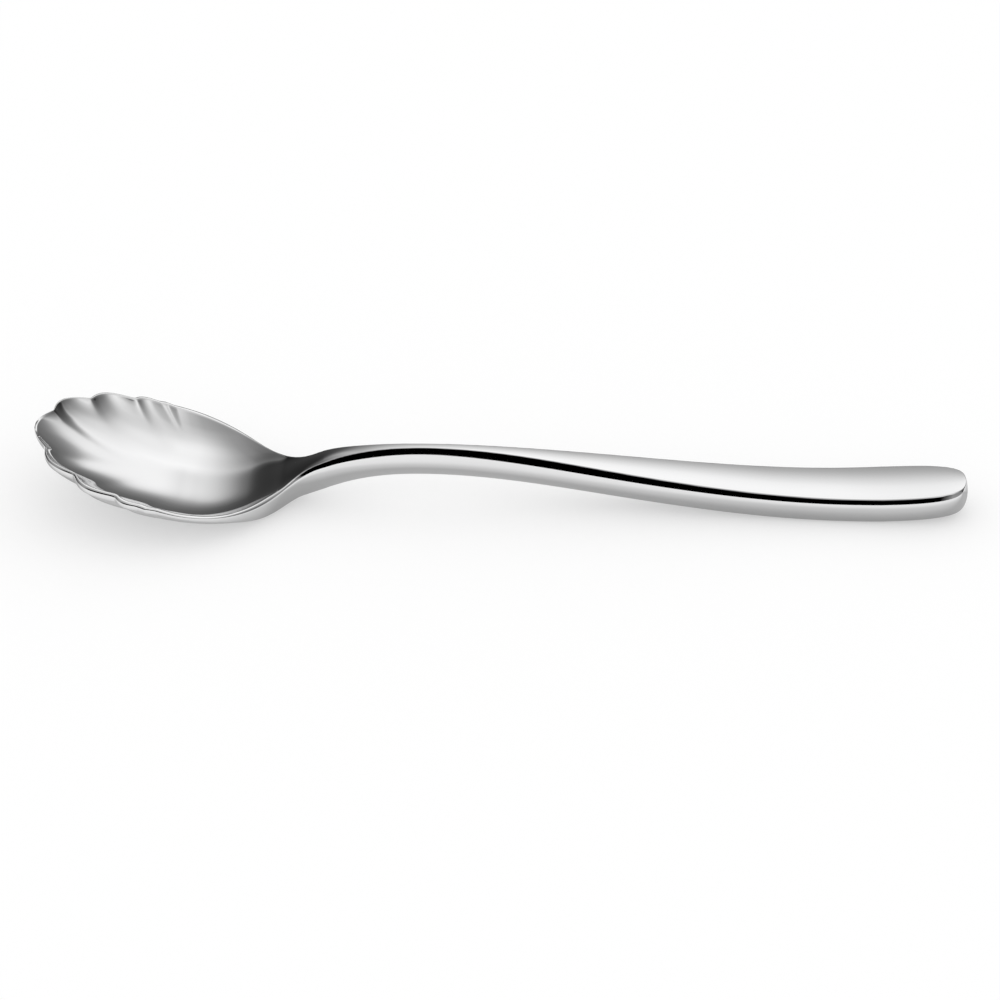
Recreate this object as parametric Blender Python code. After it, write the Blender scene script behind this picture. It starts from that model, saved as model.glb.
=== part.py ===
"""Sugar spoon: one forging of polished stainless steel.

A shell-fluted bowl runs through a narrow, arched neck into a flat-topped handle that widens to a
rounded end. Stations are distances along the spoon from the bowl's tip. In the finished part +X runs
from the bowl to the handle's end, +Z is up, and the origin lies under the middle of the spoon, on the
surface that it rests on. Sizes are in metres.
"""

import math

import bmesh
import bpy
import numpy as np

OBJECT_NAME = "sugar_spoon"
NODE_NAME = "spoon"

LENGTH = 0.145

# Bowl: an egg-shaped dish, from its tip past its widest place to where it has run out into the neck
BOWL_WIDTH = 0.03172
BOWL_FRONT = 0.017
BOWL_BACK = 0.028
BOWL_DEPTH = 0.0042
BOWL_DEEPEST = 0.024
BOWL_FRONT_POWER = 2.0
BOWL_BACK_POWER = 3.1
DISH_POWER = 4.75
TIP_FULLNESS = 2.7
HEEL_FALL = 2.4
RIM_LAND = 0.0007

# Flutes: each notch in the rim ends a ridge that sweeps back and fades towards the bowl's floor
FLUTE_STATIONS = (0.00117, 0.0062, 0.0131, 0.0185)
FLUTE_DEPTHS = (0.0013, 0.0016, 0.00125, 0.0005)
FLUTE_SWEEP = 0.0129
FLUTE_POWER = 1.8
FLUTE_FADE_POWER = 2.25
FLUTE_ROUNDING = 0.12
FLUTE_SOFTENING = 0.40

# Places along the spoon: set back from the bowl's end, run on from it, or set back from the handle's end
HEEL_SETBACK = 0.012
SHOULDER_SETBACK = 0.006
NECK_RUN = 0.006
ARCH_RUN = 0.016
GRIP_RUN = 0.045
REST_SETBACK = 0.020
END_ROUNDING = 0.0134

# Widths of the handle
SHOULDER_WIDTH = 0.00454
NECK_WIDTH = 0.00314
ARCH_WIDTH = 0.00240
GRIP_WIDTH = 0.00620
HANDLE_WIDTH = 0.01065
END_POWER = 3.2

# Heights of the widest line of the section above the forging's own datum
TIP_LEVEL = 0.00840
HEEL_LEVEL = 0.00007
HEEL_BLEND = 0.0022
SHOULDER_LEVEL = 0.00034
THROAT_LEVEL = 0.00292
NECK_LEVEL = 0.00403
ARCH_LEVEL = 0.00460
GRIP_LEVEL = 0.00298
REST_LEVEL = 0.00139
END_LEVEL = 0.00290

# Radii of the rounded edge above that line. The handle's edge meets the top in a crease, past EDGE_TURN of
# its radius. The top is crowned by CROWN_SHARE of the half-width, and by NECK_CROWN more before the neck.
RIM_EDGE = 0.00050
HEEL_EDGE = 0.00043
NECK_EDGE = 0.00390
ARCH_EDGE = 0.00458
GRIP_EDGE = 0.00395
HANDLE_EDGE = 0.00284
END_EDGE = 0.00278
EDGE_TURN = 0.18
CROWN_SHARE = 0.014
NECK_CROWN = 0.07

# Depths of the side below that line
RIM_SIDE = 0.00083
HEEL_SIDE = 0.00178
SHOULDER_SIDE = 0.00355
NECK_SIDE = 0.00274
ARCH_SIDE = 0.00215
HANDLE_SIDE = 0.00277
HANDLE_BELLY = 0.00025
SIDE_ROUNDING = 0.60

# Depth of the flats that polishing and use leave where the spoon lies on a table
REST_FLAT_DEPTH = 0.0001

# Fineness of the skin, and of the steps that find places on it
STATION_COUNT = 112
SECTION_POINTS = 36
RIM_HALVINGS = 40
RESTING_STATIONS = 2000
RESTING_PASSES = 8
SLOPE_STEP = 1e-6
WELD = 1e-7
TINY = 1e-12

STEEL_COLOUR = (0.62, 0.62, 0.61, 1.0)
STEEL_ROUGHNESS = 0.08

BOWL_END = BOWL_FRONT + BOWL_BACK
HEEL = BOWL_END - HEEL_SETBACK
SHOULDER = BOWL_END - SHOULDER_SETBACK
NECK = BOWL_END + NECK_RUN
ARCH = BOWL_END + ARCH_RUN
GRIP = BOWL_END + GRIP_RUN
REST = LENGTH - REST_SETBACK


def smooth_line(points):
    """Return a natural cubic spline through (station, value) pairs that runs on straight past its ends."""
    xs, ys = (np.array(column, dtype=float) for column in zip(*points))
    steps = np.diff(xs)
    slopes = np.diff(ys) / steps
    matrix = np.eye(len(xs))
    right = np.zeros(len(xs))
    for i in range(1, len(xs) - 1):
        matrix[i, i - 1 : i + 2] = steps[i - 1], 2 * (steps[i - 1] + steps[i]), steps[i]
        right[i] = 6 * (slopes[i] - slopes[i - 1])
    bends = np.linalg.solve(matrix, right)
    first_slope = slopes[0] - steps[0] * bends[1] / 6
    last_slope = slopes[-1] + steps[-1] * bends[-2] / 6

    def value(x):
        inside = np.clip(x, xs[0], xs[-1])
        i = np.clip(np.searchsorted(xs, inside) - 1, 0, len(xs) - 2)
        before = xs[i + 1] - inside
        after = inside - xs[i]
        curve = (bends[i] * before**3 + bends[i + 1] * after**3) / (6 * steps[i])
        start = (ys[i] / steps[i] - bends[i] * steps[i] / 6) * before
        end = (ys[i + 1] / steps[i] - bends[i + 1] * steps[i] / 6) * after
        past = first_slope * np.minimum(x - xs[0], 0) + last_slope * np.maximum(x - xs[-1], 0)
        return curve + start + end + past

    return value


def ease(share):
    """Run smoothly from 0 to 1 as share does."""
    share = np.clip(share, 0, 1)
    return share * share * (3 - 2 * share)


edge_at = smooth_line(
    [
        (0, RIM_EDGE),
        (BOWL_FRONT, RIM_EDGE),
        (HEEL, HEEL_EDGE),
        (NECK, NECK_EDGE),
        (ARCH, ARCH_EDGE),
        (GRIP, GRIP_EDGE),
        (REST, HANDLE_EDGE),
        (LENGTH, END_EDGE),
    ]
)
side_at = smooth_line(
    [
        (0, RIM_SIDE),
        (BOWL_FRONT, RIM_SIDE),
        (HEEL, HEEL_SIDE),
        (SHOULDER, SHOULDER_SIDE),
        (NECK, NECK_SIDE),
        (ARCH, ARCH_SIDE),
        (REST, HANDLE_SIDE),
        (LENGTH, HANDLE_SIDE),
    ]
)
handle_level_at = smooth_line(
    [
        (SHOULDER, SHOULDER_LEVEL),
        (BOWL_END, THROAT_LEVEL),
        (NECK, NECK_LEVEL),
        (ARCH, ARCH_LEVEL),
        (GRIP, GRIP_LEVEL),
        (REST, REST_LEVEL),
        (LENGTH, END_LEVEL),
    ]
)
handle_half_at = smooth_line(
    [
        (BOWL_END, SHOULDER_WIDTH / 2),
        (NECK, NECK_WIDTH / 2),
        (ARCH, ARCH_WIDTH / 2),
        (GRIP, GRIP_WIDTH / 2),
        (LENGTH - END_ROUNDING, HANDLE_WIDTH / 2),
    ]
)


def level_at(x):
    """Height of the section's widest line: the bowl's straight rim, blended into the handle's arch."""
    rim = TIP_LEVEL + (HEEL_LEVEL - TIP_LEVEL) * x / HEEL
    handle = handle_level_at(x)
    return (rim + handle + np.hypot(rim - handle, HEEL_BLEND)) / 2


def bowl_half_width(x):
    """Half the bowl's plain outline: elliptical at the tip, hollowed where it runs into the neck."""
    front = np.clip((BOWL_FRONT - x) / BOWL_FRONT, 0, 1)
    back = np.clip((x - BOWL_FRONT) / BOWL_BACK, 0, 1)
    tip_side = np.sqrt(1 - front**BOWL_FRONT_POWER)
    heel_side = (1 - back**BOWL_BACK_POWER) ** 2
    return BOWL_WIDTH / 2 * np.where(x < BOWL_FRONT, tip_side, heel_side)


def bowl_depth(x):
    """Depth of the dish below its rim: deepening from the tip, running out into the neck."""
    front = np.clip((BOWL_DEEPEST - x) / BOWL_DEEPEST, 0, 1)
    tip_side = 1 - front**TIP_FULLNESS
    heel_side = (bowl_half_width(x) * 2 / BOWL_WIDTH) ** HEEL_FALL
    return BOWL_DEPTH * tip_side * np.where(x < BOWL_FRONT, 1, heel_side)


def half_width(x):
    """Half the spoon's plain outline in plan, with its rounded end."""
    end_start = LENGTH - END_ROUNDING
    handle = handle_half_at(np.clip(x, BOWL_END, end_start))
    handle *= ease((x - BOWL_FRONT) / (SHOULDER - BOWL_FRONT))
    end = np.clip((x - end_start) / END_ROUNDING, 0, 1)
    return np.hypot(bowl_half_width(x), handle) * (1 - end**END_POWER) ** (1 / END_POWER)


def edge_share(x, y, radius, turn=1.0):
    """Share of its radius that a round edge has risen by at (x, y). It ends in a crease after its turn."""
    half = half_width(x)
    taper = (half_width(x + SLOPE_STEP) ** 2 - half_width(x - SLOPE_STEP) ** 2) / (4 * SLOPE_STEP)
    inset = (half**2 - y**2) / (2 * np.hypot(taper, y) + TINY)
    return np.sqrt(1 - (1 - np.clip(inset / radius, 0, turn)) ** 2)


def rim_place(x, y):
    """Find where the flute line through (x, y) meets the rim, and how far out along it the point lies."""
    low = np.maximum(x - FLUTE_SWEEP, 0)
    high = x.copy()
    for _ in range(RIM_HALVINGS):
        middle = (low + high) / 2
        outside = half_width(middle) * (1 - (x - middle) / FLUTE_SWEEP) > np.abs(y)
        high = np.where(outside, middle, high)
        low = np.where(outside, low, middle)
    station = (low + high) / 2
    return station, np.clip(1 - (x - station) / FLUTE_SWEEP, 0, 1)


def flute_crest(station, out):
    """Share of a ridge's full height, from 0 along the middle of a flute to nearly 1 along a crest."""
    turn = np.sqrt(station)
    notches = [math.sqrt(notch) for notch in FLUTE_STATIONS]
    bounds = [-notches[0], *notches, 2 * notches[-1] - notches[-2]]
    lobe = np.clip(np.searchsorted(bounds, turn) - 1, 0, len(bounds) - 2)
    start = np.take(bounds, lobe)
    share = np.clip((turn - start) / (np.take(bounds, lobe + 1) - start), 0, 1)
    share = np.where(lobe == len(bounds) - 2, share / 2, share)
    rounding = FLUTE_ROUNDING + FLUTE_SOFTENING * (1 - out)
    crest = np.hypot(1, rounding) - np.hypot(1 - np.abs(2 * share - 1), rounding)
    return crest**FLUTE_POWER


def spoon_surface(x, share, upper):
    """Place points at station x and a share of the half-width across, on the upper or lower skin."""
    half = half_width(x)
    y = share * half
    station, out = rim_place(x, y)
    depth = np.interp(station, FLUTE_STATIONS, FLUTE_DEPTHS)
    ridge = depth * flute_crest(station, out) * out**FLUTE_FADE_POWER
    in_dish = np.clip(np.abs(y) / np.maximum(half - RIM_LAND, TINY), 0, 1)
    dish = bowl_depth(x) * (1 - in_dish**DISH_POWER)
    past_heel = ease((x - HEEL) / (BOWL_END - HEEL))
    past_neck = ease((x - BOWL_END) / (GRIP - BOWL_END))
    creased = ease((x - HEEL) / (SHOULDER - HEEL))
    rise = edge_at(x) * edge_share(x, y, edge_at(x), 1 - (1 - EDGE_TURN) * creased)
    crown = CROWN_SHARE + NECK_CROWN * (1 - ease((x - BOWL_END) / NECK_RUN))
    rise += crown * half * past_heel * (1 - share**2)
    drop = side_at(x) * edge_share(x, y, side_at(x) * SIDE_ROUNDING)
    drop += HANDLE_BELLY * past_neck * (1 - share**2)
    reach = np.hypot(FLUTE_SWEEP, half_width(station)) + TINY
    x = x + ridge * FLUTE_SWEEP / reach
    y = y - np.sign(y) * ridge * half_width(station) / reach
    z = level_at(x) - dish + np.where(upper, rise, -drop)
    return np.column_stack((x, y, z))


def resting_line():
    """Height and slope of the surface that the bowl and the handle both lie on."""
    x = np.linspace(0, LENGTH, RESTING_STATIONS)
    low = spoon_surface(x, np.zeros_like(x), np.zeros(len(x), dtype=bool))[:, 2]
    bowl = x < BOWL_END
    height = slope = 0.0
    for _ in range(RESTING_PASSES):
        gap = low - height - slope * x
        first = np.argmin(np.where(bowl, gap, np.inf))
        second = np.argmin(np.where(bowl, np.inf, gap))
        slope = (low[second] - low[first]) / (x[second] - x[first])
        height = low[first] - slope * x[first]
    return height, slope


def make_steel():
    """Polished stainless steel."""
    steel = bpy.data.materials.new("polished_steel")
    steel.use_nodes = True
    shader = steel.node_tree.nodes["Principled BSDF"]
    shader.inputs["Base Color"].default_value = STEEL_COLOUR
    shader.inputs["Metallic"].default_value = 1.0
    shader.inputs["Roughness"].default_value = STEEL_ROUGHNESS
    return steel


def make_spoon():
    """Draw a ball out to the spoon's length and forge its skin to the sections, then flatten its rests."""
    bm = bmesh.new()
    bmesh.ops.create_uvsphere(bm, u_segments=SECTION_POINTS, v_segments=STATION_COUNT, radius=1)
    ball = np.array([vert.co for vert in bm.verts])
    across = np.hypot(ball[:, 0], ball[:, 1])
    pole = across < WELD
    share = np.where(pole, 0, ball[:, 0] / np.where(pole, 1, across))
    points = spoon_surface(LENGTH * (1 - ball[:, 2]) / 2, share, ball[:, 1] > 0)
    height, slope = resting_line()
    points[:, 2] -= height + slope * points[:, 0] + REST_FLAT_DEPTH
    points[:, 0] -= LENGTH / 2
    for vert, point in zip(bm.verts, points):
        vert.co = point
    whole = bm.verts[:] + bm.edges[:] + bm.faces[:]
    bmesh.ops.bisect_plane(
        bm, geom=whole, dist=WELD, plane_co=(0, 0, 0), plane_no=(0, 0, -1), clear_outer=True
    )
    bmesh.ops.holes_fill(bm, edges=[edge for edge in bm.edges if edge.is_boundary], sides=0)
    bmesh.ops.recalc_face_normals(bm, faces=bm.faces)
    mesh = bpy.data.meshes.new(NODE_NAME)
    bm.to_mesh(mesh)
    bm.free()
    mesh.shade_smooth()
    mesh.materials.append(make_steel())
    return bpy.data.objects.new(NODE_NAME, mesh)


def main():
    """Clear the scene and make the spoon in a collection of its own."""
    for old in list(bpy.data.objects):
        bpy.data.objects.remove(old)
    collection = bpy.data.collections.new(OBJECT_NAME)
    bpy.context.scene.collection.children.link(collection)
    collection.objects.link(make_spoon())


main()
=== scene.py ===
"""Sugar spoon in mirror-polished stainless steel, lying on a pale studio floor.

The spoon is one forging: a shell-fluted bowl, a narrow arched neck and a flat-topped handle that widens to
a rounded end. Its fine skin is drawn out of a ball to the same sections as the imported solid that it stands
for. Stations are distances along the spoon from the bowl's tip, in metres.
"""

import logging
import math
from dataclasses import dataclass, field
from enum import Enum
from functools import cached_property
from typing import Any

import bmesh
import bpy
import numpy as np
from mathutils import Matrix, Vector


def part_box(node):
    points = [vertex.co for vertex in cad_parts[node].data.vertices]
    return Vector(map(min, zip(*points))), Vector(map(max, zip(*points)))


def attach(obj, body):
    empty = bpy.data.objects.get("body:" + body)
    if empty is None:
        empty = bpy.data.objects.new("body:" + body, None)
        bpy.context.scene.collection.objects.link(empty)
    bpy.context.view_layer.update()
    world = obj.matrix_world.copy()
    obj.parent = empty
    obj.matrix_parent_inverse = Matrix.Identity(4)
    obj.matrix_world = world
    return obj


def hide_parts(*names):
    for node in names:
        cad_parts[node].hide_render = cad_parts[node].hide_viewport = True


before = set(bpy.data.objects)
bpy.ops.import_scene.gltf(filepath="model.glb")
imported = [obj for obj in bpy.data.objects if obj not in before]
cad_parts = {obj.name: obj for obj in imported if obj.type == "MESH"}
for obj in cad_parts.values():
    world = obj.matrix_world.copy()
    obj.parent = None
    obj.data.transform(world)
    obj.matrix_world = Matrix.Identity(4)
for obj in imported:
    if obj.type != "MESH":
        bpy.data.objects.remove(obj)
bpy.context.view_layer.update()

Array = np.ndarray
Colour = tuple[float, float, float, float]
Stops = tuple[tuple[float, float], ...]
LOG = logging.getLogger("sugar_spoon")

NODE = "spoon"
BODY = "root"

IMAGE_SIDE = 1000
SENSOR_WIDTH = 36.0
NEAR_CLIP = 0.01
TURN_DEGREES = 360
RAMP_MIDDLE = 0.5
TINY = 1e-12


class MathKind(Enum):
    """The sums that shader values take part in."""

    ADD = "ADD"
    MULTIPLY = "MULTIPLY"
    DIVIDE = "DIVIDE"
    ATAN2 = "ARCTAN2"
    ROOT = "SQRT"
    SIZE = "ABSOLUTE"


class Ray(Enum):
    """The kinds of light path that can be told to pass an object by."""

    CAMERA = "visible_camera"
    DIFFUSE = "visible_diffuse"
    SHADOW = "visible_shadow"


class Value:
    """A socket that takes part in Python sums, each of which adds a Math node."""

    def __init__(self, graph: "Graph", socket: bpy.types.NodeSocket) -> None:
        """Wrap a socket of a graph."""
        self.graph = graph
        self.socket = socket

    def __add__(self, other: "Value | float") -> "Value":
        """Add."""
        return self.graph.sum(MathKind.ADD, self, other)

    def __radd__(self, other: float) -> "Value":
        """Add to a number."""
        return self.graph.sum(MathKind.ADD, other, self)

    def __mul__(self, other: "Value | float") -> "Value":
        """Multiply."""
        return self.graph.sum(MathKind.MULTIPLY, self, other)

    def __rmul__(self, other: float) -> "Value":
        """Multiply a number."""
        return self.graph.sum(MathKind.MULTIPLY, other, self)

    def __truediv__(self, other: "Value | float") -> "Value":
        """Divide."""
        return self.graph.sum(MathKind.DIVIDE, self, other)

    def __rtruediv__(self, other: float) -> "Value":
        """Divide a number."""
        return self.graph.sum(MathKind.DIVIDE, other, self)


class Graph:
    """The nodes of one material or world."""

    def __init__(self, tree: bpy.types.NodeTree) -> None:
        """Start from an empty tree."""
        self.tree = tree
        tree.nodes.clear()

    def node(
        self,
        kind: str,
        settings: dict[str, Any] | None = None,
        stops: Stops = (),
        **sockets: Any,
    ) -> bpy.types.Node:
        """Add a node.

        Args:
            kind: The node's type.
            settings: Its own settings, which are set first.
            stops: Places and brightnesses along it, where it is a ramp.
            sockets: Values or links of its inputs by name, with _ for a space, or by number after an n.

        Returns:
            The new node.
        """
        node = self.tree.nodes.new(kind)
        for name, setting in (settings or {}).items():
            setattr(node, name, setting)
        if stops:
            elements = node.color_ramp.elements
            while len(elements) < len(stops):
                elements.new(RAMP_MIDDLE)
            for element, (place, bright) in zip(elements, stops):
                element.position = place
                element.color = (bright, bright, bright, 1)
        for name, given in sockets.items():
            numbered = name[0] == "n" and name[1:].isdigit()
            socket = node.inputs[int(name[1:]) if numbered else name.replace("_", " ")]
            if isinstance(given, Value):
                given = given.socket
            if isinstance(given, bpy.types.NodeSocket):
                self.tree.links.new(given, socket)
            else:
                socket.default_value = given
        return node

    def value(
        self,
        kind: str,
        output: str,
        settings: dict[str, Any] | None = None,
        stops: Stops = (),
        **sockets: Any,
    ) -> Value:
        """Add a node as node() does.

        Args:
            kind: The node's type.
            output: The name of the output that is wanted.
            settings: Its own settings.
            stops: Places and brightnesses along it, where it is a ramp.
            sockets: Values or links of its inputs.

        Returns:
            The output, ready for sums.
        """
        return Value(self, self.node(kind, settings, stops, **sockets).outputs[output])

    def sum(self, kind: MathKind, first: Value | float, second: Value | float = 0.0) -> Value:
        """Add a Math node of this kind on two values or numbers."""
        return self.value("ShaderNodeMath", "Value", {"operation": kind.value}, n0=first, n1=second)

    def place(self) -> bpy.types.NodeSocket:
        """Object coordinates."""
        return self.node("ShaderNodeTexCoord").outputs["Object"]


@dataclass(frozen=True)
class PolishedSteel:
    """Mirror-polished stainless steel, with the faint marks that buffing and use leave on it."""

    colour: Colour = (0.86, 0.86, 0.86, 1.0)
    clouded: Colour = (0.82, 0.82, 0.825, 1.0)
    roughness: float = 0.03
    cloud_roughness: float = 0.02
    cloud_scale: float = 45.0
    cloud_detail: float = 3.0
    buffing_scale: float = 900.0
    buffing_detail: float = 4.0
    buffing_stretch: tuple[float, float, float] = (0.02, 1.0, 1.0)
    buffing_roughness: float = 0.015
    buffing_height: float = 2e-8

    def material(self) -> bpy.types.Material:
        """Make the finish.

        Returns:
            The material, patterned on Object coordinates.
        """
        steel = bpy.data.materials.new("polished_steel")
        steel.use_nodes = True
        graph = Graph(steel.node_tree)
        place = graph.place()
        drawn = graph.node("ShaderNodeMapping", Vector=place, Scale=self.buffing_stretch).outputs["Vector"]
        clouds, buffing = (
            graph.value("ShaderNodeTexNoise", "Fac", Vector=where, Scale=scale, Detail=detail)
            for where, scale, detail in (
                (place, self.cloud_scale, self.cloud_detail),
                (drawn, self.buffing_scale, self.buffing_detail),
            )
        )
        colour = graph.node(
            "ShaderNodeMix", {"data_type": "RGBA"}, Factor=clouds, n6=self.colour, n7=self.clouded
        )
        bump = graph.node("ShaderNodeBump", Height=buffing, Distance=self.buffing_height)
        shader = graph.node(
            "ShaderNodeBsdfPrincipled",
            Base_Color=colour.outputs[2],
            Metallic=1.0,
            Roughness=self.roughness + self.cloud_roughness * clouds + self.buffing_roughness * buffing,
            Normal=bump.outputs["Normal"],
        )
        graph.node("ShaderNodeOutputMaterial", Surface=shader.outputs["BSDF"])
        return steel


@dataclass(frozen=True)
class PaleFloor:
    """Matt white studio floor, lit a little from within so that shadows stay pale, and clear from below.

    The steel sees it shaded beside the spoon, by shares at distances from the spoon's middle line.
    """

    colour: Colour = (0.97, 0.97, 0.97, 1.0)
    inner_light: float = 0.4
    white_strength: float = 1.0
    shade_strength: float = 0.0
    shade_reach: float = 0.06
    shade: Stops = (
        (0.0, 0.46),
        (0.005, 0.50),
        (0.0065, 0.44),
        (0.008, 0.37),
        (0.011, 0.30),
        (0.014, 0.23),
        (0.018, 0.15),
        (0.024, 0.10),
        (0.06, 0.07),
    )

    def material(self) -> bpy.types.Material:
        """Make the finish.

        Returns:
            The material, whose own light only views and reflections see.
        """
        paint = bpy.data.materials.new("pale_floor")
        paint.use_nodes = True
        graph = Graph(paint.node_tree)
        rays = graph.node("ShaderNodeLightPath")
        camera, glossy, through = (
            Value(graph, rays.outputs[f"Is {name} Ray"]) for name in ("Camera", "Glossy", "Transmission")
        )
        matt = graph.node("ShaderNodeBsdfDiffuse", Color=self.colour)
        glow = graph.node("ShaderNodeEmission", Strength=self.white_strength)
        seen = (camera + glossy + through) * self.inner_light
        pale = graph.node("ShaderNodeMixShader", n0=seen, n1=matt.outputs[0], n2=glow.outputs[0])
        across = graph.value("ShaderNodeSeparateXYZ", "Y", Vector=graph.place())
        away = graph.sum(MathKind.SIZE, across) / self.shade_reach
        stops = tuple((distance / self.shade_reach, share) for distance, share in self.shade)
        shade = graph.value("ShaderNodeValToRGB", "Color", stops=stops, Fac=away)
        dark = graph.node("ShaderNodeEmission", Strength=self.shade_strength)
        hidden = glossy * shade
        shaded = graph.node("ShaderNodeMixShader", n0=hidden, n1=pale.outputs[0], n2=dark.outputs[0])
        clear = graph.node("ShaderNodeBsdfTransparent")
        below = graph.node("ShaderNodeNewGeometry").outputs["Backfacing"]
        mixed = graph.node("ShaderNodeMixShader", n0=below, n1=shaded.outputs[0], n2=clear.outputs[0])
        graph.node("ShaderNodeOutputMaterial", Surface=mixed.outputs[0])
        return paint


@dataclass(frozen=True)
class Glow:
    """One soft light of the tent, as brightnesses at angles in degrees.

    Its arcs run over the tent from the floor behind, at 0 degrees, to the floor in front, at 180. Its lean
    is the angle to the right of them, and its edges sag to either side, by degrees at angles of lean.
    """

    arc: Stops
    lean: Stops
    sag: Stops = ()

    def brightness(self, graph: Graph, x: Value, y: Value, z: Value) -> Value:
        """Read the light's brightness.

        Args:
            graph: The cloth's nodes.
            x: Places on the tent to the right.
            y: Places to the back.
            z: Heights.

        Returns:
            The brightness there.
        """
        reach = graph.sum(MathKind.ROOT, y * y + z * z)
        side = graph.sum(MathKind.ATAN2, x, reach)
        over = graph.sum(MathKind.ATAN2, z, y)
        if self.sag:
            turns = tuple((lean, drop / TURN_DEGREES) for lean, drop in self.sag)
            over = over + self.ramp(graph, turns, side) * math.tau * y / reach
        return self.ramp(graph, self.arc, over) * self.ramp(graph, self.lean, side)

    def ramp(self, graph: Graph, stops: Stops, angle: Value) -> Value:
        """Read brightness off an angle.

        Args:
            graph: The cloth's nodes.
            stops: Angles in degrees, from -90 to 180, and the brightnesses there.
            angle: The angle in radians.

        Returns:
            The brightness.
        """
        places = tuple((degrees / TURN_DEGREES + RAMP_MIDDLE, bright) for degrees, bright in stops)
        return graph.value("ShaderNodeValToRGB", "Color", stops=places, Fac=angle / math.tau + RAMP_MIDDLE)


@dataclass(frozen=True)
class TentCloth:
    """Cloth of a light tent: a soft panel behind and above, a dim dome, a light in front and dim sides.

    The cloth straight ahead, low in front, is black.
    """

    strength: float = 1.17
    panel: Glow = Glow(
        arc=(
            (-10, 0.045),
            (8, 0.075),
            (20, 0.125),
            (26, 0.19),
            (28.5, 0.265),
            (29.8, 0.33),
            (30.7, 0.41),
            (31.5, 0.52),
            (32.0, 0.62),
            (32.4, 0.70),
            (32.8, 0.78),
            (33.3, 0.855),
            (33.8, 0.905),
            (34.4, 0.94),
            (35.2, 0.95),
            (37, 0.91),
            (44, 0.84),
            (56, 0.76),
            (68, 0.65),
            (80, 0.475),
            (96, 0.285),
            (112, 0.13),
            (139, 0.10),
            (142.6, 0.0),
        ),
        lean=(
            (-40, 0.0),
            (-28, 0.14),
            (-20, 0.33),
            (-12, 0.57),
            (-4, 0.79),
            (4, 0.95),
            (12, 1.0),
            (20, 0.88),
            (28, 0.67),
            (36, 0.42),
            (44, 0.235),
            (56, 0.113),
            (70, 0.03),
        ),
        sag=(
            (-20, 2.9),
            (-12, 1.6),
            (-4, 0.5),
            (2, 0.4),
            (7.3, 1.4),
            (9.3, 2.6),
            (14.5, 6.2),
            (18, 8.0),
            (23, 7.0),
            (30, 1.5),
            (40, 0.0),
        ),
    )
    dome: Glow = Glow(
        arc=(
            (0, 0.04),
            (24, 0.0),
            (40, 0.057),
            (56, 0.172),
            (72, 0.232),
            (88, 0.268),
            (104, 0.288),
            (120, 0.27),
            (132, 0.27),
            (139, 0.23),
            (143, 0.05),
            (151, 0.045),
            (154, 0.0),
        ),
        lean=(
            (-80, 0.4),
            (-50, 0.75),
            (-38, 0.96),
            (0, 1.0),
            (30, 0.99),
            (45, 0.74),
            (60, 0.45),
            (80, 0.3),
        ),
    )
    front: Glow = Glow(
        arc=((70, 0.0), (85, 0.07), (100, 0.18), (115, 0.36), (130, 0.48), (140, 0.38), (142.6, 0.0)),
        lean=(
            (-2, 0.0),
            (10, 0.25),
            (18, 0.72),
            (26, 1.0),
            (34, 0.95),
            (42, 0.8),
            (52, 0.4),
            (62, 0.0),
        ),
    )
    sides: Glow = Glow(
        arc=((120, 0.0), (146, 0.22), (179, 0.3)),
        lean=((-80, 0.9), (-45, 1.0), (-25, 0.0), (25, 0.0), (45, 1.0), (80, 0.9)),
    )

    def material(self) -> bpy.types.Material:
        """Make the finish.

        Returns:
            The glowing material.
        """
        cloth = bpy.data.materials.new("tent_cloth")
        cloth.use_nodes = True
        graph = Graph(cloth.node_tree)
        axes = graph.node("ShaderNodeSeparateXYZ", Vector=graph.place())
        x, y, z = (Value(graph, axes.outputs[name]) for name in "XYZ")
        glows = (self.panel, self.dome, self.front, self.sides)
        panel, dome, front, sides = (glow.brightness(graph, x, y, z) for glow in glows)
        glowing = panel + dome + front + sides
        light = graph.node("ShaderNodeEmission", Color=glowing, Strength=self.strength)
        graph.node("ShaderNodeOutputMaterial", Surface=light.outputs[0])
        return cloth


@dataclass(frozen=True)
class SmoothLine:
    """A natural cubic spline through (station, value) points, which runs on straight past its ends."""

    points: Stops

    @cached_property
    def columns(self) -> tuple[Array, Array, Array, Array]:
        """Stations, values, steps between the stations, and bends at them."""
        xs, ys = (np.array(column, dtype=float) for column in zip(*self.points))
        steps = np.diff(xs)
        slopes = np.diff(ys) / steps
        matrix = np.eye(len(xs))
        right = np.zeros(len(xs))
        for i in range(1, len(xs) - 1):
            matrix[i, i - 1 : i + 2] = steps[i - 1], 2 * (steps[i - 1] + steps[i]), steps[i]
            right[i] = 6 * (slopes[i] - slopes[i - 1])
        return xs, ys, steps, np.linalg.solve(matrix, right)

    def at(self, x: Array) -> Array:
        """Read the line.

        Args:
            x: Stations.

        Returns:
            The values there.
        """
        xs, ys, steps, bends = self.columns
        slopes = np.diff(ys) / steps
        first_slope = slopes[0] - steps[0] * bends[1] / 6
        last_slope = slopes[-1] + steps[-1] * bends[-2] / 6
        inside = np.clip(x, xs[0], xs[-1])
        i = np.clip(np.searchsorted(xs, inside) - 1, 0, len(xs) - 2)
        before = xs[i + 1] - inside
        after = inside - xs[i]
        curve = (bends[i] * before**3 + bends[i + 1] * after**3) / (6 * steps[i])
        start = (ys[i] / steps[i] - bends[i] * steps[i] / 6) * before
        end = (ys[i + 1] / steps[i] - bends[i + 1] * steps[i] / 6) * after
        past = first_slope * np.minimum(x - xs[0], 0) + last_slope * np.maximum(x - xs[-1], 0)
        return curve + start + end + past


def ease(share: Array) -> Array:
    """Run smoothly from 0 to 1 as share does."""
    share = np.clip(share, 0, 1)
    return share * share * (3 - 2 * share)


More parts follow.
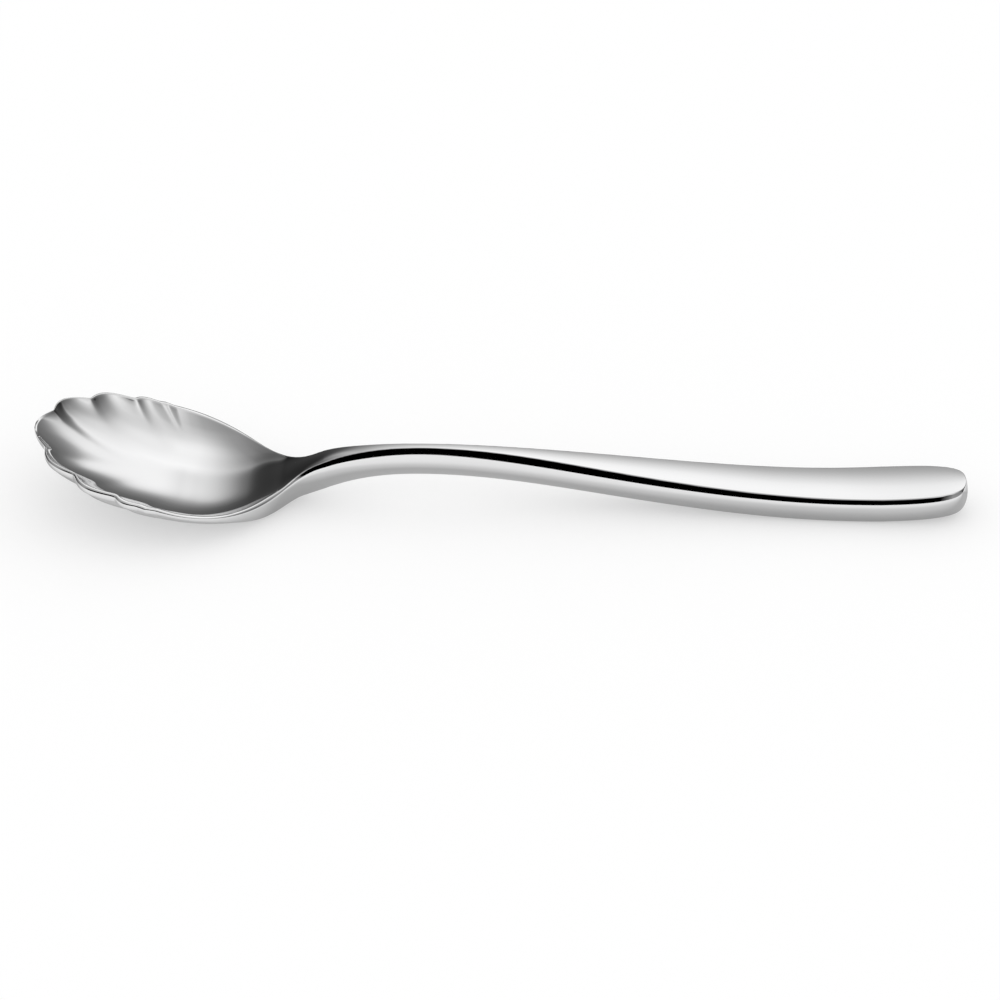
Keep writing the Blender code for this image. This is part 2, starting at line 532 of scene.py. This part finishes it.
@dataclass(frozen=True)
class Bowl:
    """The egg-shaped dish, from its tip past its widest place to where it has run out into the neck."""

    width: float = 0.03172
    front: float = 0.017
    back: float = 0.028
    depth: float = 0.0042
    deepest: float = 0.024
    front_power: float = 2.0
    back_power: float = 3.1
    dish_power: float = 4.75
    tip_fullness: float = 2.7
    heel_fall: float = 2.4
    rim_land: float = 0.0007

    @property
    def end(self) -> float:
        """Station where the bowl has run out."""
        return self.front + self.back

    def half_width(self, x: Array) -> Array:
        """Half the plain outline: elliptical at the tip, hollowed where it runs into the neck."""
        front = np.clip((self.front - x) / self.front, 0, 1)
        back = np.clip((x - self.front) / self.back, 0, 1)
        tip_side = np.sqrt(1 - front**self.front_power)
        heel_side = (1 - back**self.back_power) ** 2
        return self.width / 2 * np.where(x < self.front, tip_side, heel_side)

    def dish(self, x: Array, y: Array, half: Array) -> Array:
        """Depth of the dish below its rim.

        Args:
            x: Stations.
            y: Distances across.
            half: Half the spoon's width at those stations.

        Returns:
            The depths: growing from the tip, running out into the neck, and none on the rim's land.
        """
        front = np.clip((self.deepest - x) / self.deepest, 0, 1)
        tip_side = 1 - front**self.tip_fullness
        heel_side = (self.half_width(x) * 2 / self.width) ** self.heel_fall
        share = np.clip(np.abs(y) / np.maximum(half - self.rim_land, TINY), 0, 1)
        return self.depth * tip_side * np.where(x < self.front, 1, heel_side) * (1 - share**self.dish_power)


@dataclass(frozen=True)
class Flutes:
    """The scallops: each notch in the rim ends a ridge that sweeps back and fades towards the floor."""

    stations: tuple[float, ...] = (0.00117, 0.0062, 0.0131, 0.0185)
    depths: tuple[float, ...] = (0.0013, 0.0016, 0.00125, 0.0005)
    sweep: float = 0.0129
    power: float = 1.8
    fade_power: float = 2.25
    rounding: float = 0.12
    softening: float = 0.40
    pleat_half: float = 0.0014
    pleat_depth: float = 0.0005
    pleat_start: float = 0.76

    def crest(self, station: Array, out: Array) -> Array:
        """Share of a ridge's full height.

        Args:
            station: Where the flute line through the point meets the rim.
            out: How far out along that line the point lies, from 0 on the axis to 1 on the rim.

        Returns:
            The shares, from 0 along the middle of a flute to nearly 1 along a crest.
        """
        turn = np.sqrt(station)
        notches = [math.sqrt(notch) for notch in self.stations]
        bounds = [-notches[0], *notches, 2 * notches[-1] - notches[-2]]
        lobe = np.clip(np.searchsorted(bounds, turn) - 1, 0, len(bounds) - 2)
        start = np.take(bounds, lobe)
        share = np.clip((turn - start) / (np.take(bounds, lobe + 1) - start), 0, 1)
        share = np.where(lobe == len(bounds) - 2, share / 2, share)
        rounding = self.rounding + self.softening * (1 - out)
        crest = np.hypot(1, rounding) - np.hypot(1 - np.abs(2 * share - 1), rounding)
        return crest**self.power

    def pleat(self, station: Array, out: Array) -> Array:
        """Depth to which the small pointed pleat at the last notch is pressed out of the wall.

        Args:
            station: Where the flute line through the point meets the rim.
            out: How far out along that line the point lies, from 0 on the axis to 1 on the rim.

        Returns:
            The depths.
        """
        opening = np.clip((out - self.pleat_start) / (1 - self.pleat_start), 0, 1)
        across = np.abs(station - self.stations[-1]) / self.pleat_half
        return self.pleat_depth * np.maximum(opening - across, 0)


@dataclass(frozen=True)
class Handle:
    """The neck, the arch and the handle, as places, widths and levels along the forging."""

    heel_setback: float = 0.012
    shoulder_setback: float = 0.006
    neck_run: float = 0.006
    arch_run: float = 0.016
    grip_run: float = 0.045
    rest_setback: float = 0.020
    end_rounding: float = 0.0134
    end_power: float = 3.2
    shoulder_width: float = 0.00454
    neck_width: float = 0.00314
    arch_width: float = 0.00240
    grip_width: float = 0.00620
    width: float = 0.01065
    tip_level: float = 0.00840
    heel_level: float = 0.00007
    heel_blend: float = 0.0022
    shoulder_level: float = 0.00034
    throat_level: float = 0.00292
    neck_level: float = 0.00403
    arch_level: float = 0.00460
    grip_level: float = 0.00298
    rest_level: float = 0.00139
    end_level: float = 0.00290
    rim_edge: float = 0.00050
    heel_edge: float = 0.00043
    neck_edge: float = 0.00390
    arch_edge: float = 0.00458
    grip_edge: float = 0.00395
    edge: float = 0.00284
    end_edge: float = 0.00278
    edge_turn: float = 0.18
    crown_share: float = 0.014
    neck_crown: float = 0.07
    rim_side: float = 0.00083
    heel_side: float = 0.00178
    shoulder_side: float = 0.00355
    neck_side: float = 0.00274
    arch_side: float = 0.00215
    side: float = 0.00277
    belly: float = 0.00025
    side_rounding: float = 0.60


@dataclass
class Spoon:
    """The whole forging: its skin, its finish and its place in the frame."""

    length: float
    bowl: Bowl = field(default_factory=Bowl)
    flutes: Flutes = field(default_factory=Flutes)
    handle: Handle = field(default_factory=Handle)
    steel: PolishedSteel = field(default_factory=PolishedSteel)
    rest_flat_depth: float = 0.0001
    station_count: int = 600
    bowl_rings: float = 0.6
    section_points: int = 144
    rim_halvings: int = 40
    resting_stations: int = 2000
    resting_passes: int = 8
    slope_step: float = 1e-6
    weld: float = 1e-7
    heel: float = field(init=False)
    shoulder: float = field(init=False)
    grip: float = field(init=False)
    end_start: float = field(init=False)
    edge_line: SmoothLine = field(init=False)
    side_line: SmoothLine = field(init=False)
    level_line: SmoothLine = field(init=False)
    half_line: SmoothLine = field(init=False)
    piece: bpy.types.Object = field(init=False)

    def __post_init__(self) -> None:
        """Lay the lines along the forging through its named places."""
        parts = self.handle
        heel = self.bowl.end - parts.heel_setback
        shoulder = self.bowl.end - parts.shoulder_setback
        neck = self.bowl.end + parts.neck_run
        arch = self.bowl.end + parts.arch_run
        grip = self.bowl.end + parts.grip_run
        rest = self.length - parts.rest_setback
        self.heel, self.shoulder, self.grip = heel, shoulder, grip
        self.end_start = self.length - parts.end_rounding
        self.edge_line = SmoothLine(
            (
                (0, parts.rim_edge),
                (self.bowl.front, parts.rim_edge),
                (heel, parts.heel_edge),
                (neck, parts.neck_edge),
                (arch, parts.arch_edge),
                (grip, parts.grip_edge),
                (rest, parts.edge),
                (self.length, parts.end_edge),
            )
        )
        self.side_line = SmoothLine(
            (
                (0, parts.rim_side),
                (self.bowl.front, parts.rim_side),
                (heel, parts.heel_side),
                (shoulder, parts.shoulder_side),
                (neck, parts.neck_side),
                (arch, parts.arch_side),
                (rest, parts.side),
                (self.length, parts.side),
            )
        )
        self.level_line = SmoothLine(
            (
                (shoulder, parts.shoulder_level),
                (self.bowl.end, parts.throat_level),
                (neck, parts.neck_level),
                (arch, parts.arch_level),
                (grip, parts.grip_level),
                (rest, parts.rest_level),
                (self.length, parts.end_level),
            )
        )
        self.half_line = SmoothLine(
            (
                (self.bowl.end, parts.shoulder_width / 2),
                (neck, parts.neck_width / 2),
                (arch, parts.arch_width / 2),
                (grip, parts.grip_width / 2),
                (self.end_start, parts.width / 2),
            )
        )

    def level(self, x: Array) -> Array:
        """Height of the section's widest line: the bowl's straight rim, blended into the handle's arch."""
        parts = self.handle
        rim = parts.tip_level + (parts.heel_level - parts.tip_level) * x / self.heel
        arch = self.level_line.at(x)
        return (rim + arch + np.hypot(rim - arch, parts.heel_blend)) / 2

    def half_width(self, x: Array) -> Array:
        """Half the plain outline in plan, with its rounded end."""
        handle = self.half_line.at(np.clip(x, self.bowl.end, self.end_start))
        handle = handle * ease((x - self.bowl.front) / (self.shoulder - self.bowl.front))
        end = np.clip((x - self.end_start) / self.handle.end_rounding, 0, 1)
        power = self.handle.end_power
        return np.hypot(self.bowl.half_width(x), handle) * (1 - end**power) ** (1 / power)

    def edge_share(self, x: Array, y: Array, radius: Array, turn: Array | float = 1.0) -> Array:
        """Share of its radius that a round edge has risen by at a point.

        Args:
            x: Stations.
            y: Distances across.
            radius: Radii of the edge there.
            turn: Share of the radius past which the edge ends in a crease.

        Returns:
            Shares from 0, on the outline, to 1, past a full rounding.
        """
        half = self.half_width(x)
        ahead = self.half_width(x + self.slope_step) ** 2
        behind = self.half_width(x - self.slope_step) ** 2
        taper = (ahead - behind) / (4 * self.slope_step)
        inset = (half**2 - y**2) / (2 * np.hypot(taper, y) + TINY)
        return np.sqrt(1 - (1 - np.clip(inset / radius, 0, turn)) ** 2)

    def rim_place(self, x: Array, y: Array) -> tuple[Array, Array]:
        """Follow the flute line through each point out to the rim.

        Args:
            x: Stations.
            y: Distances across.

        Returns:
            The stations where the lines meet the rim, and how far out along them the points lie.
        """
        sweep = self.flutes.sweep
        low = np.maximum(x - sweep, 0)
        high = x.copy()
        for _ in range(self.rim_halvings):
            middle = (low + high) / 2
            outside = self.half_width(middle) * (1 - (x - middle) / sweep) > np.abs(y)
            high = np.where(outside, middle, high)
            low = np.where(outside, low, middle)
        station = (low + high) / 2
        return station, np.clip(1 - (x - station) / sweep, 0, 1)

    def surface(self, x: Array, share: Array, upper: Array) -> Array:
        """Place points on the skin.

        Args:
            x: Stations.
            share: Shares of the half-width across, from -1 to 1.
            upper: Whether each point is on the upper skin.

        Returns:
            The points, one row each.
        """
        parts = self.handle
        half = self.half_width(x)
        y = share * half
        edge = self.edge_line.at(x)
        side = self.side_line.at(x)
        middle = 1 - share**2
        past_heel = ease((x - self.heel) / (self.bowl.end - self.heel))
        past_neck = ease((x - self.bowl.end) / (self.grip - self.bowl.end))
        turn = 1 - (1 - parts.edge_turn) * ease((x - self.heel) / (self.shoulder - self.heel))
        before_neck = 1 - ease((x - self.bowl.end) / parts.neck_run)
        crown = (parts.crown_share + parts.neck_crown * before_neck) * past_heel
        rise = edge * self.edge_share(x, y, edge, turn) + crown * half * middle
        drop = side * self.edge_share(x, y, side * parts.side_rounding) + parts.belly * past_neck * middle
        flutes = self.flutes
        station, out = self.rim_place(x, y)
        depth = np.interp(station, flutes.stations, flutes.depths)
        ridge = depth * flutes.crest(station, out) * out**flutes.fade_power - flutes.pleat(station, out)
        dish = self.bowl.dish(x, y, half)
        rim_half = self.half_width(station)
        reach = np.hypot(flutes.sweep, rim_half) + TINY
        x = x + ridge * flutes.sweep / reach
        y = y - np.sign(y) * ridge * rim_half / reach
        z = self.level(x) - dish + np.where(upper, rise, -drop)
        return np.column_stack((x, y, z))

    def resting_line(self) -> tuple[float, float]:
        """Find the surface that the bowl and the handle both lie on.

        Returns:
            Its height at the tip's station, and its slope.
        """
        x = np.linspace(0, self.length, self.resting_stations)
        low = self.surface(x, np.zeros_like(x), np.zeros(len(x), dtype=bool))[:, 2]
        bowl = x < self.bowl.end
        height = slope = 0.0
        for _ in range(self.resting_passes):
            gap = low - height - slope * x
            first = np.argmin(np.where(bowl, gap, np.inf))
            second = np.argmin(np.where(bowl, np.inf, gap))
            slope = (low[second] - low[first]) / (x[second] - x[first])
            height = low[first] - slope * x[first]
        return height, slope

    def stations(self, height: Array) -> Array:
        """Spread the ball's rings along the spoon, closest in the bowl.

        Args:
            height: Heights on the ball, from -1 to 1.

        Returns:
            The stations of the rings.
        """
        turn = np.arccos(np.clip(height, -1, 1)) / math.pi
        in_bowl = np.clip(turn / self.bowl_rings, 0, 1)
        on_handle = np.clip((turn - self.bowl_rings) / (1 - self.bowl_rings), 0, 1)
        bowl = self.bowl.end * (1 - np.cos(math.pi / 2 * in_bowl))
        return bowl + (self.length - self.bowl.end) * np.sin(math.pi / 2 * on_handle)

    def build(self) -> bpy.types.Object:
        """Draw a ball out to the spoon's length, forge its skin to the sections and flatten its rests.

        Returns:
            The spoon, in place.
        """
        bm = bmesh.new()
        bmesh.ops.create_uvsphere(
            bm, u_segments=self.section_points, v_segments=self.station_count, radius=1
        )
        ball = np.array([vert.co for vert in bm.verts])
        across = np.hypot(ball[:, 0], ball[:, 1])
        pole = across < self.weld
        share = np.where(pole, 0, ball[:, 0] / np.where(pole, 1, across))
        points = self.surface(self.stations(ball[:, 2]), share, ball[:, 1] > 0)
        height, slope = self.resting_line()
        points[:, 2] -= height + slope * points[:, 0] + self.rest_flat_depth
        points[:, 0] -= self.length / 2
        for vert, point in zip(bm.verts, points):
            vert.co = point
        whole = bm.verts[:] + bm.edges[:] + bm.faces[:]
        bmesh.ops.bisect_plane(
            bm, geom=whole, dist=self.weld, plane_co=(0, 0, 0), plane_no=(0, 0, -1), clear_outer=True
        )
        bmesh.ops.holes_fill(bm, edges=[edge for edge in bm.edges if edge.is_boundary], sides=0)
        bmesh.ops.recalc_face_normals(bm, faces=bm.faces)
        mesh = bpy.data.meshes.new("polished_spoon")
        bm.to_mesh(mesh)
        bm.free()
        mesh.shade_smooth()
        self.piece = bpy.data.objects.new("polished_spoon", mesh)
        bpy.context.scene.collection.objects.link(self.piece)
        return self.piece

    def dress(self) -> None:
        """Give the spoon its finish, and its place in the frame."""
        self.piece.data.materials.append(self.steel.material())
        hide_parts(NODE)
        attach(self.piece, BODY)


@dataclass
class Studio:
    """The pale floor, the white surroundings, the light tent and the camera."""

    floor_half: float = 4.0
    floor_drop: float = 0.00005
    tent_radius: float = 1.5
    tent_segments: int = 96
    world_strength: float = 1.03
    floor: PaleFloor = field(default_factory=PaleFloor)
    cloth: TentCloth = field(default_factory=TentCloth)
    camera_elevation: float = 32.45
    camera_azimuth: float = 1.97
    camera_distance: float = 0.700
    aim: tuple[float, float, float] = (-0.000173, 0.0, 0.000311)
    pixels_per_metre: float = 6398.7

    def build(self) -> None:
        """Set the studio up round the object."""
        self.lay_floor()
        self.hang_tent()
        self.light_world()
        self.place_camera()

    def stage_object(
        self, name: str, bm: bmesh.types.BMesh, material: bpy.types.Material
    ) -> bpy.types.Object:
        """Turn a bmesh into an object of the set, with its finish, linked into the scene.

        Args:
            name: The object's name.
            bm: Its shape, which is freed.
            material: Its finish.

        Returns:
            The object.
        """
        mesh = bpy.data.meshes.new(name)
        bm.to_mesh(mesh)
        bm.free()
        mesh.materials.append(material)
        piece = bpy.data.objects.new(name, mesh)
        bpy.context.scene.collection.objects.link(piece)
        return piece

    def lay_floor(self) -> None:
        """Lay the floor a hair under the spoon."""
        bm = bmesh.new()
        bmesh.ops.create_grid(bm, x_segments=1, y_segments=1, size=self.floor_half)
        bmesh.ops.translate(bm, verts=bm.verts, vec=(0, 0, -self.floor_drop))
        self.stage_object("floor", bm, self.floor.material())

    def hang_tent(self) -> None:
        """Hang the tent, which only the steel sees."""
        bm = bmesh.new()
        bmesh.ops.create_uvsphere(
            bm, u_segments=self.tent_segments, v_segments=self.tent_segments, radius=self.tent_radius
        )
        whole = bm.verts[:] + bm.edges[:] + bm.faces[:]
        bmesh.ops.bisect_plane(bm, geom=whole, plane_co=(0, 0, 0), plane_no=(0, 0, -1), clear_outer=True)
        tent = self.stage_object("light_tent", bm, self.cloth.material())
        for ray in Ray:
            setattr(tent, ray.value, False)

    def light_world(self) -> None:
        """Surround the set with plain white light."""
        world = bpy.data.worlds.new("studio_white")
        world.use_nodes = True
        graph = Graph(world.node_tree)
        white = graph.node("ShaderNodeBackground", Color=(1, 1, 1, 1), Strength=self.world_strength)
        graph.node("ShaderNodeOutputWorld", Surface=white.outputs[0])
        bpy.context.scene.world = world

    def place_camera(self) -> None:
        """Stand the camera where the photograph was taken from."""
        elevation = math.radians(self.camera_elevation)
        azimuth = math.radians(self.camera_azimuth)
        back = Vector(
            (
                math.sin(azimuth) * math.cos(elevation),
                -math.cos(azimuth) * math.cos(elevation),
                math.sin(elevation),
            )
        )
        lens = bpy.data.cameras.new("camera")
        lens.sensor_width = SENSOR_WIDTH
        lens.lens = self.pixels_per_metre * self.camera_distance * SENSOR_WIDTH / IMAGE_SIDE
        lens.clip_start = NEAR_CLIP
        camera = bpy.data.objects.new("camera", lens)
        camera.location = Vector(self.aim) + back * self.camera_distance
        camera.rotation_mode = "QUATERNION"
        camera.rotation_quaternion = (-back).to_track_quat("-Z", "Y")
        bpy.context.scene.collection.objects.link(camera)
        bpy.context.scene.camera = camera


def main() -> None:
    """Build the spoon and the studio, in that order."""
    logging.basicConfig(level=logging.INFO)
    bpy.context.scene.view_settings.view_transform = "Standard"
    low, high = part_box(NODE)
    spoon = Spoon(length=high.x - low.x)
    piece = spoon.build()
    spoon.dress()
    LOG.info("%s: %d vertices", piece.name, len(piece.data.vertices))
    Studio().build()
    LOG.info("studio set up")


if __name__ == "__main__":
    main()
